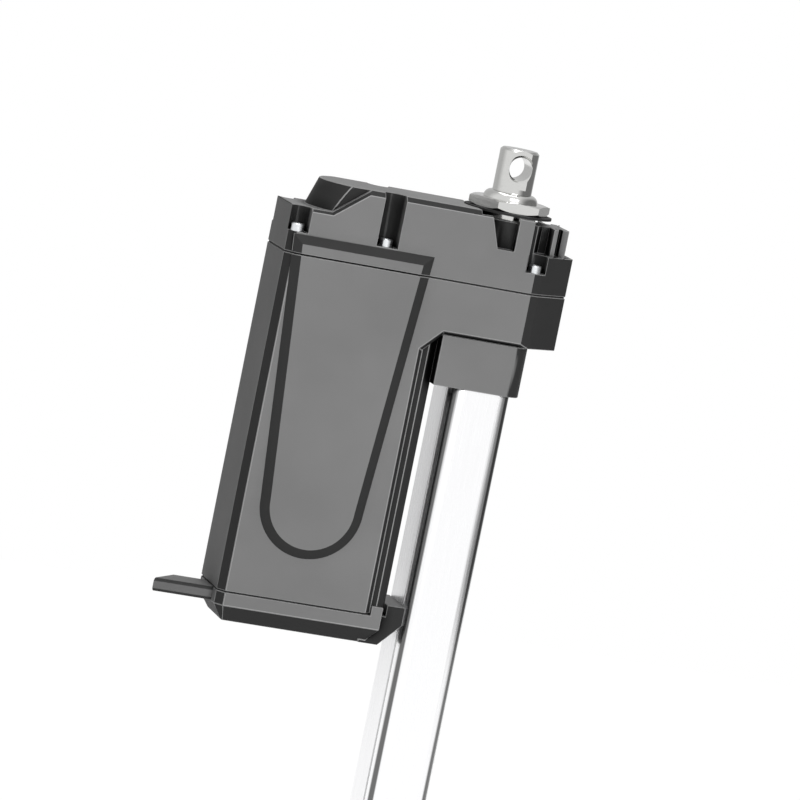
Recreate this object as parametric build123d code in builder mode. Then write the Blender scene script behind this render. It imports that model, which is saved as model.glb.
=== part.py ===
from build123d import *
import math
import os

# Electric rod actuator, its motor beside the spindle.
# +Z runs up the tube towards the rear clevis, +X to the right along the front, the front faces -Y.
# The origin is the middle of the rear clevis bore. The spindle axis is X = 0, Y = 0.
# All sizes are in millimetres.

os.makedirs("parts", exist_ok=True)

# Clearances
seat_gap = 0.05
slide_gap = 0.3
bore_gap = 0.05
gasket_thickness = 0.8
air_gap = 0.6
gear_room = 0.425
motor_room = 1.3
overlap = 1.0

# Stroke and screw drive
stroke = 200.0
module = 1.25
pinion_teeth = 12
first_wheel_teeth = 29
second_wheel_teeth = 29
spindle_gear_teeth = 30
pressure_angle = 25.0
addendum_factor = 0.9
dedendum_factor = 1.15
backlash = 0.14
gear_width = 7.0
pinion_overlap = 0.8
root_clearance = 0.05
flank_shares = (0.0, 0.3, 0.65, 1.0)

# Housing, seen from the front
wall = 3.2
parting_height_below_bore = 61.6
cover_height = 38.5
shoulder_height = 24.0
block_height = 20.4
wing_drop = 28.2
motor_case_length = 177.5
left_half_width = 40.0
right_half_width = 39.1
corner_bevel = 4.0
top_chamfer = 2.6
profile_chamfer = 1.6
wing_chamfer = 2.0
wing_front_reach = 14.4
wing_bevel_reach = 19.1
wing_bevel_depth = 2.0
wing_end_reach = 37.3
wing_end_half = 8.0

# Stepped right side of the motor case
step_bevel = 2.5
step_ledge = 3.4
bulge_bevel = 4.0
bulge_reach = 2.0
bulge_depth = 10.0
gusset = 11.8

# Raised panel round the motor
panel_raise = 1.6
panel_band = 5.0
panel_top_height = 10.4
panel_top_half = 37.7
panel_low_half = 27.5
panel_arc_drop = 127.2

# Conical nose over the motor
nose_overlap = 0.4
nose_foot_reach = 19.5
nose_crest_reach = 1.1
nose_angle = 18.5

# Screw channels and screws
screw_radius = 2.0
screw_head_radius = 3.4
screw_head_height = 4.0
screw_bite = 14.0
channel_radius = 5.6
corner_channel_radius = 4.9
channel_floor_height = 11.0
channel_setback = 4.8
middle_screw_reach = 12.0
end_screw_reach = 15.0
boss_radius = 3.5
socket_radius = 1.7
socket_depth = 2.2
gasket_inset = 0.6
board_web = 1.5
board_thickness = 1.6
board_ledge = 2.0
board_height = 15.0

# Bearing tower and its ribbed corner
tower_radius = 19.4
recess_floor_height = 19.0
recess_top_reach = -14.0
recess_floor_reach = -7.4
rib_width = 2.2
rib_setback = 6.0
rib_sunk = 1.0
wide_rib_left = 1.0
wide_rib_right = 9.3
rim_reach = 31.0
rim_width = 3.4
rim_half = 13.0
lid_thickness = 2.6
lid_setback = 0.8
lid_taper = 35.0
lid_straight_reach = 13.0

# Collar and outer tube
collar_drop = 54.5
collar_left = 27.0
collar_right = 20.6
collar_step = 0.7
collar_corner = 8.0
tube_width = 32.6
tube_depth = 41.6
tube_corner = 7.0
tube_wall = 3.0
tube_socket_depth = 24.0
tube_length = 283.0
tube_groove = 1.2
groove_from_front = 11.0

# Motor end cap
cap_band = 6.9
cap_taper_height = 8.5
cap_taper_angle = 36.0
cap_arm_rise = 6.0
cap_arm_drop = 3.5
cap_arm_half = 18.5
cap_arm_taper_height = 11.2
arm_root = 5.0
arm_foot = 12.0
tab_gap = 0.4
tab_width = 6.0
tab_depth = 2.2
cap_tab_rise = 5.0
cap_hollow = 8.0
cap_boss_radius = 5.0
cap_screw_sunk = 5.0
cap_screw_radius = 1.75
cap_screw_head_radius = 3.2
cap_screw_head_height = 3.5
cap_head_margin = 0.8

# Cable outlet boot
boot_length = 31.5
boot_width = 22.0
boot_height = 7.0
boot_bore_radius = 1.9
boot_flange = 1.0
boot_y = -1.0
boot_cut = 15.7
boot_edge = 2.0

# Rear clevis
bar_radius = 10.25
bar_top = 9.6
bore_radius = 6.1
countersink_radius = 7.2
flat_depth = 9.2
hex_across_flats = 38.0
hex_height = 5.5
hex_chamfer = 1.6
flare_radius = 4.0
bar_chamfer = 1.2
stem_radius = 15.0
stem_hollow = 4.0
seal_radius = 23.0
seal_thickness = 1.2
seal_sunk = 0.6

# Spindle, bearing and nut
spindle_radius = 6.0
journal_radius = 6.0
bearing_radius = 16.0
bearing_height = 10.0
bearing_top_height = 22.0
race_wall = 3.0
ball_count = 9
ball_gap = 0.12
ball_bite = 1.2
ring_thickness = 1.2
ring_play = 0.2
ring_groove = 0.8
ring_width = 2.0
ring_land = 1.2
spindle_chamfer = 0.8
gear_hub_radius = 8.0
web_hole_orbit = 13.0
web_hole_radius = 2.5
web_hole_count = 6
nut_length = 30.0
nut_back_reach = 12.0
nut_start_below_tube_top = 6.0

# Push rod, front guide and front eye
rod_radius = 10.0
rod_bore_radius = 7.5
guide_plug_length = 25.0
guide_flange = 8.0
wiper_height = 3.0
wiper_width = 3.0
rod_show = 12.0
eye_collar_radius = 12.0
eye_collar_height = 4.0
eye_below_collar = 14.0
eye_end = 14.0
eye_plug_length = 15.0
eye_chamfer = 1.0
eye_flat_rise = 17.0
rod_in_nut = 10.0
running_gap = 0.08
guide_chamfer = 1.5
spindle_past_guide = 2.0

# Motor
motor_shell = 1.4
motor_length = 110.0
motor_shaft_radius = 2.5
motor_bush_radius = 6.0
motor_boss_radius = 7.0
motor_boss_height = 2.8
magnet_thickness = 3.0
rotor_gap = 1.4
rotor_slots = 9
commutator_radius = 6.5
commutator_length = 12.0
commutator_clear = 1.95
bar_slot_depth = 1.0
bar_slot_width = 0.5
winding_length = 6.0
motor_web_drops = (8.0, 50.0, 92.0)
rotor_below_top = 16.0
magnet_gap = 6.0
plate_thickness = 4.0
brush_length = 8.0
brush_width = 4.0
brush_height = 5.0
brush_rise = 1.5
brush_wall = 1.2
slot_depth = 6.0
slot_width = 1.8
winding_step = 1.7
winding_inner_radius = 4.5
encoder_reach = 5.0
encoder_radius = 5.0
encoder_height = 4.0

# Electronics
strip_width = 12.0
board_rib_reach = 20.0
board_sunk = 3.0
sensor_width = 5.0
sensor_depth = 2.2
magnet_width = 6.0
magnet_depth = 3.0

# Heights of the gear stack, above the parting plane
first_mesh_low = -21.5
second_mesh_low = -11.3
third_mesh_low = -1.3
gear_floor_height = -24.5
gear_roof_height = 8.5
chamber_reach = 19.5
idler_pin_radius = 2.5
idler_hub_radius = 4.5
pin_seat = 2.6

# Sizes that follow from the gears and the walls
spindle_gear_tip = module * (spindle_gear_teeth / 2 + addendum_factor)
housing_depth = 2 * (spindle_gear_tip + gear_room + wall)
nose_top_radius = housing_depth / 2 + nose_overlap
motor_radius = housing_depth / 2 - wall - motor_room
rotor_radius = motor_radius - motor_shell - magnet_thickness - rotor_gap
winding_outer_radius = rotor_radius - winding_step
cap_taper_reach = cap_taper_height * math.tan(math.radians(cap_taper_angle))
cap_screw_inset = cap_taper_reach + cap_screw_head_radius + cap_head_margin
control_board_width = 2 * (right_half_width - cap_screw_inset - cap_boss_radius - air_gap)

# Places that follow from the sizes above
parting_z = -parting_height_below_bore
front_y = -housing_depth / 2
first_distance = module * (pinion_teeth + first_wheel_teeth) / 2
second_distance = module * (pinion_teeth + second_wheel_teeth) / 2
third_distance = module * (pinion_teeth + spindle_gear_teeth) / 2
idler_b_x = -third_distance
idler_a_x = idler_b_x - second_distance
motor_x = idler_a_x - first_distance
left_x = motor_x - left_half_width
case_right_x = motor_x + right_half_width
top_z = parting_z + cover_height
case_bottom_z = parting_z - motor_case_length
cover_bottom_z = parting_z + gasket_thickness / 2
case_top_z = parting_z - gasket_thickness / 2
cap_top_z = case_bottom_z - gasket_thickness
wing_bottom_z = parting_z - wing_drop
collar_bottom_z = parting_z - collar_drop
gear_floor_z = parting_z + gear_floor_height
gear_roof_z = parting_z + gear_roof_height
channel_floor_z = parting_z + channel_floor_height
screw_y = front_y + channel_setback
left_screw_x = left_x + channel_setback
middle_screw_x = motor_x + middle_screw_reach
tube_top_z = collar_bottom_z + tube_socket_depth
tube_bottom_z = tube_top_z - tube_length
guide_bottom_z = tube_bottom_z - guide_flange
rod_bottom_z = guide_bottom_z - rod_show
eye_z = rod_bottom_z - eye_collar_height - eye_below_collar
nut_top_z = tube_top_z - nut_start_below_tube_top
nut_bottom_z = nut_top_z - nut_length
motor_top_z = wing_bottom_z - air_gap
motor_bottom_z = motor_top_z - motor_length
bearing_top_z = parting_z + bearing_top_height
bearing_bottom_z = bearing_top_z - bearing_height
board_top_z = parting_z + board_height + board_thickness
board_radius = math.hypot(middle_screw_reach, screw_y) - channel_radius - board_web
boot_z = cap_top_z - seat_gap - boot_height / 2
chamber_left_x = motor_x - chamber_reach
middle_bulge_x = case_right_x + step_bevel + step_ledge + bulge_bevel + bulge_reach

screw_places = [
    (x, y)
    for y in (screw_y, -screw_y)
    for x in (left_screw_x, middle_screw_x, end_screw_reach)
]
cap_screw_places = [
    (x, y)
    for y in (front_y + cap_screw_inset, -front_y - cap_screw_inset)
    for x in (left_x + cap_screw_inset, case_right_x - cap_screw_inset)
]


def write(piece, name):
    """Label a finished piece and write its STEP file."""
    piece.label = name
    export_step(piece, f"parts/{name}.step")


def mirrored(front_half):
    """The closed outline whose front half runs from left to right, repeated on the back."""
    return front_half + [(x, -y) for x, y in reversed(front_half)]


def on_front_or_back(edge):
    """Whether an edge lies on the housing's front or back plane."""
    return abs(abs(edge.center().Y) - housing_depth / 2) < seat_gap


def wing_outline(level, inset=0.0):
    """The plan outline of the gear housing on a level plane, drawn in by an inset."""
    front_half = [
        (left_x, front_y + corner_bevel),
        (left_x + corner_bevel, front_y),
        (wing_front_reach, front_y),
        (wing_bevel_reach, front_y + wing_bevel_depth),
        (wing_end_reach, -wing_end_half),
    ]
    with BuildSketch(Plane.XY.offset(level)) as outline:
        with BuildLine():
            Polyline(*mirrored(front_half), close=True)
        make_face()
        if inset:
            offset(amount=-inset, kind=Kind.INTERSECTION)
    return outline.sketch


def case_outline(level, inset=0.0):
    """The plan outline of the motor case, with its bevelled and stepped right side."""
    step_x = case_right_x + step_bevel
    step_y = front_y + step_bevel
    front_half = [
        (left_x, front_y + corner_bevel),
        (left_x + corner_bevel, front_y),
        (case_right_x, front_y),
        (step_x, step_y),
        (step_x + step_ledge, step_y),
        (step_x + step_ledge + bulge_bevel, step_y + bulge_bevel),
        (middle_bulge_x, front_y + bulge_depth),
    ]
    with BuildSketch(Plane.XY.offset(level)) as outline:
        with BuildLine():
            Polyline(*mirrored(front_half), close=True)
        make_face()
        if inset:
            offset(amount=-inset, kind=Kind.INTERSECTION)
    return outline.sketch


def tube_outline(level, grow=0.0):
    """The rounded section of the outer tube on a level plane."""
    with BuildSketch(Plane.XY.offset(level)) as outline:
        RectangleRounded(tube_width + 2 * grow, tube_depth + 2 * grow, tube_corner + grow)
    return outline.sketch


def disc(level, radius, centre=(0.0, 0.0)):
    """A round sketch on a level plane."""
    with BuildSketch(Plane.XY.offset(level)) as outline:
        with Locations(centre):
            Circle(radius)
    return outline.sketch


def ring_sketch(level, outer, inner, centre=(0.0, 0.0)):
    """A flat ring sketch on a level plane."""
    with BuildSketch(Plane.XY.offset(level)) as outline:
        with Locations(centre):
            Circle(outer)
            Circle(inner, mode=Mode.SUBTRACT)
    return outline.sketch


def panel_solid():
    """The raised U panel with its bevelled edge, as one private solid across both housings."""
    top_z_panel = parting_z + panel_top_height
    arc_z = parting_z - panel_arc_drop

    def outline(plane, inset):
        with BuildSketch(plane) as face:
            with BuildLine():
                left_low = (motor_x - panel_low_half, arc_z)
                right_low = (motor_x + panel_low_half, arc_z)
                Polyline(
                    left_low,
                    (motor_x - panel_top_half, top_z_panel),
                    (motor_x + panel_top_half, top_z_panel),
                    right_low,
                )
                ThreePointArc(right_low, (motor_x, arc_z - panel_low_half), left_low)
            make_face()
            if inset:
                offset(amount=-inset, kind=Kind.INTERSECTION)
        return face.sketch

    facing = Plane((0, front_y, 0), x_dir=(1, 0, 0), z_dir=(0, -1, 0))
    with BuildPart() as panel:
        loft([outline(facing, 0.0), outline(facing.offset(panel_raise), panel_band)], ruled=True)
    return panel.part


def gear_points(teeth, phase):
    """The outline of a spur gear: involute flanks in three chords, with a tooth centred on phase."""
    pitch_radius = module * teeth / 2
    base_radius = pitch_radius * math.cos(math.radians(pressure_angle))
    tip_radius = pitch_radius + addendum_factor * module
    root_radius = pitch_radius - dedendum_factor * module
    start_radius = max(base_radius, root_radius + root_clearance)
    flank = [start_radius + (tip_radius - start_radius) * share for share in flank_shares]

    def involute(radius):
        angle = math.acos(min(1.0, base_radius / radius))
        return math.tan(angle) - angle

    half_at_pitch = math.pi / (2 * teeth) - backlash / (4 * pitch_radius)
    half_angles = [
        half_at_pitch + involute(pitch_radius) - involute(radius) for radius in flank
    ]
    radii = [root_radius] + flank
    half_angles = [half_angles[0]] + half_angles
    points = []
    for tooth in range(teeth):
        middle = math.radians(phase) + 2 * math.pi * tooth / teeth
        rising = [(r, middle - a) for r, a in zip(radii, half_angles)]
        falling = [(r, middle + a) for r, a in zip(radii, half_angles)][::-1]
        points += [(r * math.cos(t), r * math.sin(t)) for r, t in rising + falling]
    return points


def meshed_phase(driver_phase, driver_teeth, driven_teeth):
    """The tooth angle of a gear that meshes on the +X side of its driver."""
    return 180.0 - driver_phase * driver_teeth / driven_teeth + 180.0 / driven_teeth


def gear_outline(level, centre_x, teeth, phase):
    """The toothed outline of a gear on a level plane."""
    with BuildSketch(Plane.XY.offset(level)) as outline:
        with BuildLine():
            Polyline(*[(centre_x + x, y) for x, y in gear_points(teeth, phase)], close=True)
        make_face()
    return outline.sketch


def gear_chamber(level):
    """The plan of the hollow that the gears run in, clear of the screw bosses."""
    with BuildSketch(Plane.XY.offset(level)) as outline:
        add(wing_outline(level, wall))
        with Locations(*screw_places):
            Circle(boss_radius, mode=Mode.SUBTRACT)
        with Locations((left_x, 0)):
            Rectangle(2 * (chamber_left_x - left_x), housing_depth, mode=Mode.SUBTRACT)
    return outline.sketch


def clevis_bore(centre_z):
    """The space of a cross bore with its two countersinks, as a private solid."""
    sink = countersink_radius - bore_radius
    with BuildPart() as bore:
        with BuildSketch(Plane.XY.offset(centre_z)):
            with BuildLine():
                Polyline(
                    (0, -flat_depth - overlap),
                    (countersink_radius + overlap, -flat_depth - overlap),
                    (bore_radius, sink - flat_depth),
                    (bore_radius, flat_depth - sink),
                    (countersink_radius + overlap, flat_depth + overlap),
                    (0, flat_depth + overlap),
                    close=True,
                )
            make_face()
        revolve(axis=Axis((0, 0, centre_z), (0, 1, 0)))
    return bore.part


def boot_slot():
    """The notch in the end cap's left wall that holds the cable boot, as a private solid."""
    with BuildPart() as slot:
        with Locations((left_x, boot_y, boot_z)):
            Box(2 * (wall + boot_flange), boot_width - 2 * boot_flange, boot_height - 2 * boot_flange)
            Box(2 * boot_flange, boot_width + 2 * seat_gap, boot_height + 2 * seat_gap)
    return slot.part


raised_panel = panel_solid()

# Gear cover: the upper shell with its conical nose, screw channels and bearing tower

with BuildPart() as nose:
    nose_foot_z = parting_z + block_height
    nose_rise = top_z - nose_foot_z
    nose_foot_radius = nose_top_radius + nose_rise * math.tan(math.radians(nose_angle))
    with Locations((motor_x, 0, nose_foot_z)):
        Cone(
            nose_foot_radius,
            nose_top_radius,
            nose_rise,
            align=(Align.CENTER, Align.CENTER, Align.MIN),
        )
    with Locations((motor_x, 0, nose_foot_z)):
        Box(
            3 * nose_foot_radius,
            housing_depth - 2 * top_chamfer,
            nose_rise,
            align=(Align.CENTER, Align.CENTER, Align.MIN),
            mode=Mode.INTERSECT,
        )

with BuildPart() as gear_cover:
    extrude(wing_outline(cover_bottom_z), amount=parting_z + block_height - cover_bottom_z)
    # the shoulder on the left of the nose
    with BuildSketch(Plane.XY.offset(parting_z + block_height)):
        with BuildLine():
            Polyline(
                (left_x, front_y + corner_bevel),
                (left_x + corner_bevel, front_y),
                (motor_x, front_y),
                (motor_x, -front_y),
                (left_x + corner_bevel, -front_y),
                (left_x, -front_y - corner_bevel),
                close=True,
            )
        make_face()
    extrude(amount=shoulder_height - block_height)
    # the tall middle, which slants towards the nose and towards the tower
    with BuildSketch(Plane.XZ.offset(-front_y)):
        with BuildLine():
            Polyline(
                (motor_x - nose_foot_reach, parting_z + block_height),
                (motor_x - nose_foot_reach, parting_z + shoulder_height),
                (motor_x - nose_crest_reach, top_z),
                (recess_top_reach, top_z),
                (recess_floor_reach, parting_z + recess_floor_height),
                (recess_floor_reach - overlap, parting_z + recess_floor_height),
                close=True,
            )
        make_face()
    extrude(amount=-housing_depth)
    top_front_edges = gear_cover.edges().filter_by(Axis.X).group_by(Axis.Z)[-1]
    chamfer(top_front_edges, top_chamfer)
    profile_edges = gear_cover.edges().filter_by(
        lambda edge: on_front_or_back(edge)
        and parting_z + shoulder_height - seat_gap < edge.center().Z < top_z - top_chamfer - seat_gap
        and edge.center().X < motor_x
    )
    chamfer(profile_edges, profile_chamfer)
    add(nose.part)
    # the bearing tower with the ribs round it
    extrude(disc(parting_z + block_height, tower_radius), amount=cover_height - block_height)
    rib_tall = cover_height - rib_sunk - block_height
    rib_sizes = [
        ((wide_rib_left + wide_rib_right) / 2, wide_rib_right - wide_rib_left, housing_depth),
        (end_screw_reach + channel_radius + rib_width, rib_width, housing_depth - 2 * rib_setback),
        (rim_reach - rim_width / 2, rim_width, 2 * rim_half),
    ]
    for rib_x, rib_thick, rib_deep in rib_sizes:
        with Locations((rib_x, 0, parting_z + block_height)):
            Box(rib_thick, rib_deep, rib_tall, align=(Align.CENTER, Align.CENTER, Align.MIN))
    with Locations((tower_radius, 0, parting_z + block_height)):
        Box(
            2 * (rim_reach - rim_width / 2 - tower_radius),
            2 * wing_end_half,
            rib_tall,
            align=(Align.CENTER, Align.CENTER, Align.MIN),
        )
    # the lid over the ribs, whose edges slope
    lid_half = housing_depth / 2 - lid_setback
    lid_front = [
        (recess_top_reach - 2 * lid_thickness, -lid_half),
        (lid_straight_reach, -lid_half),
        (rim_reach, -rim_half),
    ]
    with BuildSketch(Plane.XY.offset(top_z - rib_sunk - lid_thickness)) as lid_plan:
        with BuildLine():
            Polyline(*mirrored(lid_front), close=True)
        make_face()
    extrude(lid_plan.sketch, amount=lid_thickness, taper=lid_taper)
    split(bisect_by=Plane.XY.offset(cover_bottom_z), keep=Keep.TOP)
    add(split(raised_panel, bisect_by=Plane.XY.offset(cover_bottom_z), keep=Keep.TOP, mode=Mode.PRIVATE))
    # the channels over the screw heads, open to the top and the near face
    for x, y in screw_places:
        radius = corner_channel_radius if x == left_screw_x else channel_radius
        side = math.copysign(1, y)
        with BuildSketch(Plane.XY.offset(channel_floor_z)):
            with Locations((x, y)):
                Circle(radius)
            with Locations((x, y + side * channel_setback)):
                Rectangle(2 * radius, 2 * channel_setback)
        extrude(amount=cover_height, mode=Mode.SUBTRACT)
    with BuildSketch(Plane.XY.offset(cover_bottom_z)):
        with Locations(*screw_places):
            Circle(screw_radius + seat_gap)
    extrude(amount=cover_height, mode=Mode.SUBTRACT)
    # the gear chamber, the bearing bore, the stem bore and the hollow nose
    extrude(gear_chamber(cover_bottom_z), amount=gear_roof_z - cover_bottom_z, mode=Mode.SUBTRACT)
    extrude(
        disc(gear_roof_z, board_radius + seat_gap, (motor_x, 0)),
        amount=board_top_z - gear_roof_z,
        mode=Mode.SUBTRACT,
    )
    extrude(
        disc(board_top_z, board_radius - board_ledge, (motor_x, 0)),
        amount=top_z - wall - board_top_z,
        mode=Mode.SUBTRACT,
    )
    extrude(
        disc(gear_roof_z, bearing_radius + bore_gap),
        amount=bearing_top_z - gear_roof_z,
        mode=Mode.SUBTRACT,
    )
    extrude(
        disc(bearing_top_z, stem_radius + bore_gap),
        amount=top_z - bearing_top_z,
        mode=Mode.SUBTRACT,
    )
    extrude(
        disc(top_z - seal_sunk, seal_radius + bore_gap),
        amount=seal_sunk,
        mode=Mode.SUBTRACT,
    )
    for pin_x in (idler_a_x, idler_b_x):
        extrude(
            disc(gear_roof_z, idler_pin_radius + bore_gap, (pin_x, 0)),
            amount=pin_seat,
            mode=Mode.SUBTRACT,
        )

write(gear_cover.part, "gear_cover")

# Motor housing: motor case, gear wing, collar and the lower part of the raised panel

with BuildPart() as motor_housing:
    extrude(wing_outline(wing_bottom_z), amount=case_top_z - wing_bottom_z)
    extrude(case_outline(case_bottom_z), amount=case_top_z - case_bottom_z)
    # the gusset under the wing, beside the motor case
    with BuildSketch(Plane.XZ.offset(-front_y)):
        with BuildLine():
            Polyline(
                (case_right_x - overlap, wing_bottom_z + overlap),
                (case_right_x - overlap, wing_bottom_z - gusset),
                (case_right_x, wing_bottom_z - gusset),
                (case_right_x + gusset, wing_bottom_z),
                (case_right_x + gusset, wing_bottom_z + overlap),
                close=True,
            )
        make_face()
    extrude(amount=-housing_depth)
    lower_edges = motor_housing.edges().filter_by(
        lambda edge: on_front_or_back(edge)
        and case_right_x < edge.center().X < wing_front_reach
        and wing_bottom_z - gusset < edge.center().Z < wing_bottom_z + seat_gap
    )
    chamfer(lower_edges, wing_chamfer)
    # the collar that the outer tube stands in
    collar_half = -front_y - collar_step
    with BuildSketch(Plane.XY.offset(wing_bottom_z)) as collar_root:
        with BuildLine():
            Polyline((-collar_left, -collar_half), (-collar_left, collar_half))
            Line((-collar_left, collar_half), (collar_right - collar_corner, collar_half))
            RadiusArc(
                (collar_right - collar_corner, collar_half),
                (collar_right, collar_half - collar_corner),
                collar_corner,
            )
            Line(
                (collar_right, collar_half - collar_corner),
                (collar_right, collar_corner - collar_half),
            )
            RadiusArc(
                (collar_right, collar_corner - collar_half),
                (collar_right - collar_corner, -collar_half),
                collar_corner,
            )
            Line((collar_right - collar_corner, -collar_half), (-collar_left, -collar_half))
        make_face()
    extrude(amount=collar_bottom_z - wing_bottom_z)
    add(split(raised_panel, bisect_by=Plane.XY.offset(case_top_z), keep=Keep.BOTTOM, mode=Mode.PRIVATE))
    # the gear chamber, the motor chamber with its webs, and the tube socket
    extrude(gear_chamber(gear_floor_z), amount=case_top_z - gear_floor_z, mode=Mode.SUBTRACT)
    with BuildSketch(Plane.XY.offset(case_bottom_z)):
        add(case_outline(case_bottom_z, wall))
        with Locations(*cap_screw_places):
            Circle(cap_boss_radius, mode=Mode.SUBTRACT)
    extrude(amount=wing_bottom_z - case_bottom_z, mode=Mode.SUBTRACT)
    for web_drop in motor_web_drops:
        with BuildSketch(Plane.XY.offset(wing_bottom_z - web_drop)):
            add(case_outline(0, wall - overlap))
            with Locations((motor_x, 0)):
                Circle(motor_radius + seat_gap, mode=Mode.SUBTRACT)
        extrude(amount=wall)
    extrude(
        disc(wing_bottom_z, motor_boss_radius + seat_gap, (motor_x, 0)),
        amount=gear_floor_z - wing_bottom_z,
        mode=Mode.SUBTRACT,
    )
    extrude(tube_outline(collar_bottom_z, seat_gap), amount=tube_socket_depth, mode=Mode.SUBTRACT)
    extrude(
        disc(tube_top_z, spindle_radius + air_gap),
        amount=gear_floor_z - tube_top_z,
        mode=Mode.SUBTRACT,
    )
    for pin_x in (idler_a_x, idler_b_x):
        extrude(
            disc(gear_floor_z - pin_seat, idler_pin_radius + bore_gap, (pin_x, 0)),
            amount=pin_seat,
            mode=Mode.SUBTRACT,
        )
    with BuildSketch(Plane.XY.offset(case_top_z)):
        with Locations(*screw_places):
            Circle(screw_radius + seat_gap)
    extrude(amount=-screw_bite, mode=Mode.SUBTRACT)
    with BuildSketch(Plane.XY.offset(case_bottom_z)):
        with Locations(*cap_screw_places):
            Circle(cap_screw_radius + seat_gap)
    extrude(amount=screw_bite, mode=Mode.SUBTRACT)

write(motor_housing.part, "motor_housing")

# Gaskets in the two joints of the housing

with BuildPart() as cover_gasket:
    with BuildSketch(Plane.XY.offset(case_top_z)):
        add(wing_outline(case_top_z, gasket_inset))
        add(wing_outline(case_top_z, wall), mode=Mode.SUBTRACT)
        with Locations(*screw_places):
            Circle(screw_radius + seat_gap, mode=Mode.SUBTRACT)
    extrude(amount=gasket_thickness)

write(cover_gasket.part, "cover_gasket")

with BuildPart() as cap_gasket:
    with BuildSketch(Plane.XY.offset(cap_top_z)):
        add(case_outline(cap_top_z, gasket_inset))
        add(case_outline(cap_top_z, wall), mode=Mode.SUBTRACT)
        with Locations(*cap_screw_places):
            Circle(cap_screw_radius + seat_gap, mode=Mode.SUBTRACT)
    extrude(amount=gasket_thickness)

write(cap_gasket.part, "cap_gasket")

# Motor end cap: tapered foot, the arm that steadies the tube, and the cable recess

cap_bottom_z = cap_top_z - cap_band - cap_taper_height
arm_left_x = middle_bulge_x + slide_gap
arm_right_x = -tube_width / 2 - seat_gap
tab_left_x = case_right_x + step_bevel + tab_gap


def cap_outline(level):
    """The plan of the end cap: the motor case outline, squared off under the front tab."""
    with BuildSketch(Plane.XY.offset(level)) as outline:
        add(case_outline(level))
        with Locations(((case_right_x + tab_left_x + tab_width) / 2 - tab_width, 0)):
            Rectangle(tab_left_x + 3 * tab_width - case_right_x, housing_depth)
    return outline.sketch


with BuildPart() as end_cap:
    extrude(cap_outline(cap_top_z), amount=-cap_band)
    extrude(
        cap_outline(cap_top_z - cap_band),
        amount=-cap_taper_height,
        taper=cap_taper_angle,
    )
    arm_width = arm_right_x - arm_left_x
    with BuildSketch(Plane.XY.offset(cap_top_z)):
        with Locations(((arm_left_x + arm_right_x) / 2, 0)):
            Rectangle(arm_width, 2 * cap_arm_half)
    extrude(amount=cap_arm_rise)
    with BuildSketch(Plane.XZ.offset(cap_arm_half)):
        with BuildLine():
            Polyline(
                (arm_left_x - arm_root, cap_top_z),
                (arm_right_x, cap_top_z),
                (arm_right_x, cap_top_z - cap_arm_drop),
                (arm_right_x - cap_arm_taper_height, cap_bottom_z),
                (arm_left_x - arm_foot, cap_bottom_z),
                (arm_left_x - arm_foot, cap_top_z - overlap),
                (arm_left_x - arm_root, cap_top_z - overlap),
                close=True,
            )
        make_face()
    extrude(amount=-2 * cap_arm_half)
    with Locations((tab_left_x + tab_width / 2, front_y + tab_depth / 2, cap_top_z)):
        Box(tab_width, tab_depth, cap_tab_rise, align=(Align.CENTER, Align.CENTER, Align.MIN))
    # the hollow inside, with posts for the screws
    with BuildSketch(Plane.XY.offset(cap_top_z)):
        add(case_outline(cap_top_z, wall))
        with Locations(*cap_screw_places):
            Circle(cap_boss_radius, mode=Mode.SUBTRACT)
    extrude(amount=-cap_hollow, mode=Mode.SUBTRACT)
    # two ribs on the floor carry the control board
    for rib_x in (motor_x - board_rib_reach, motor_x + board_rib_reach):
        with Locations((rib_x, 0, cap_top_z - cap_hollow)):
            Box(
                rib_width,
                housing_depth - wall,
                cap_hollow - board_sunk,
                align=(Align.CENTER, Align.CENTER, Align.MIN),
            )
    with BuildSketch(Plane.XY.offset(cap_top_z)):
        with Locations(*cap_screw_places):
            Circle(cap_screw_radius + seat_gap)
    extrude(amount=-(cap_band + cap_taper_height), mode=Mode.SUBTRACT)
    with BuildSketch(Plane.XY.offset(cap_bottom_z)):
        with Locations(*cap_screw_places):
            Circle(cap_screw_head_radius + slide_gap)
    extrude(amount=cap_screw_sunk, mode=Mode.SUBTRACT)
    add(boot_slot(), mode=Mode.SUBTRACT)

write(end_cap.part, "end_cap")

# Cable boot: a flanged outlet with an obliquely cut tip

with BuildPart() as cable_boot:
    boot_tip_x = left_x - boot_length
    boot_root_x = left_x + boot_flange - seat_gap
    boot_front_y = boot_y - boot_width / 2
    with BuildSketch(Plane.XY.offset(boot_z - boot_height / 2)):
        with BuildLine():
            Polyline(
                (boot_root_x, boot_front_y),
                (boot_root_x, boot_front_y + boot_width),
                (boot_tip_x + boot_cut, boot_front_y + boot_width),
                (boot_tip_x, boot_front_y),
                close=True,
            )
        make_face()
    extrude(amount=boot_height)
    long_edges = cable_boot.edges().filter_by(Axis.X)
    fillet(long_edges, boot_edge)
    with BuildSketch(Plane.YZ.offset(boot_root_x)):
        with Locations((boot_y, boot_z)):
            Rectangle(
                boot_width - 2 * boot_flange - 2 * seat_gap,
                boot_height - 2 * boot_flange - 2 * seat_gap,
            )
    extrude(amount=wall)
    with BuildSketch(Plane.YZ.offset(boot_root_x + wall)):
        with Locations((boot_y, boot_z)):
            Circle(boot_bore_radius)
    extrude(amount=-(boot_length + boot_flange + wall), mode=Mode.SUBTRACT)

write(cable_boot.part, "cable_boot")

# Screws of the cover and of the motor end cap, each with a hexagon socket


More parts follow.
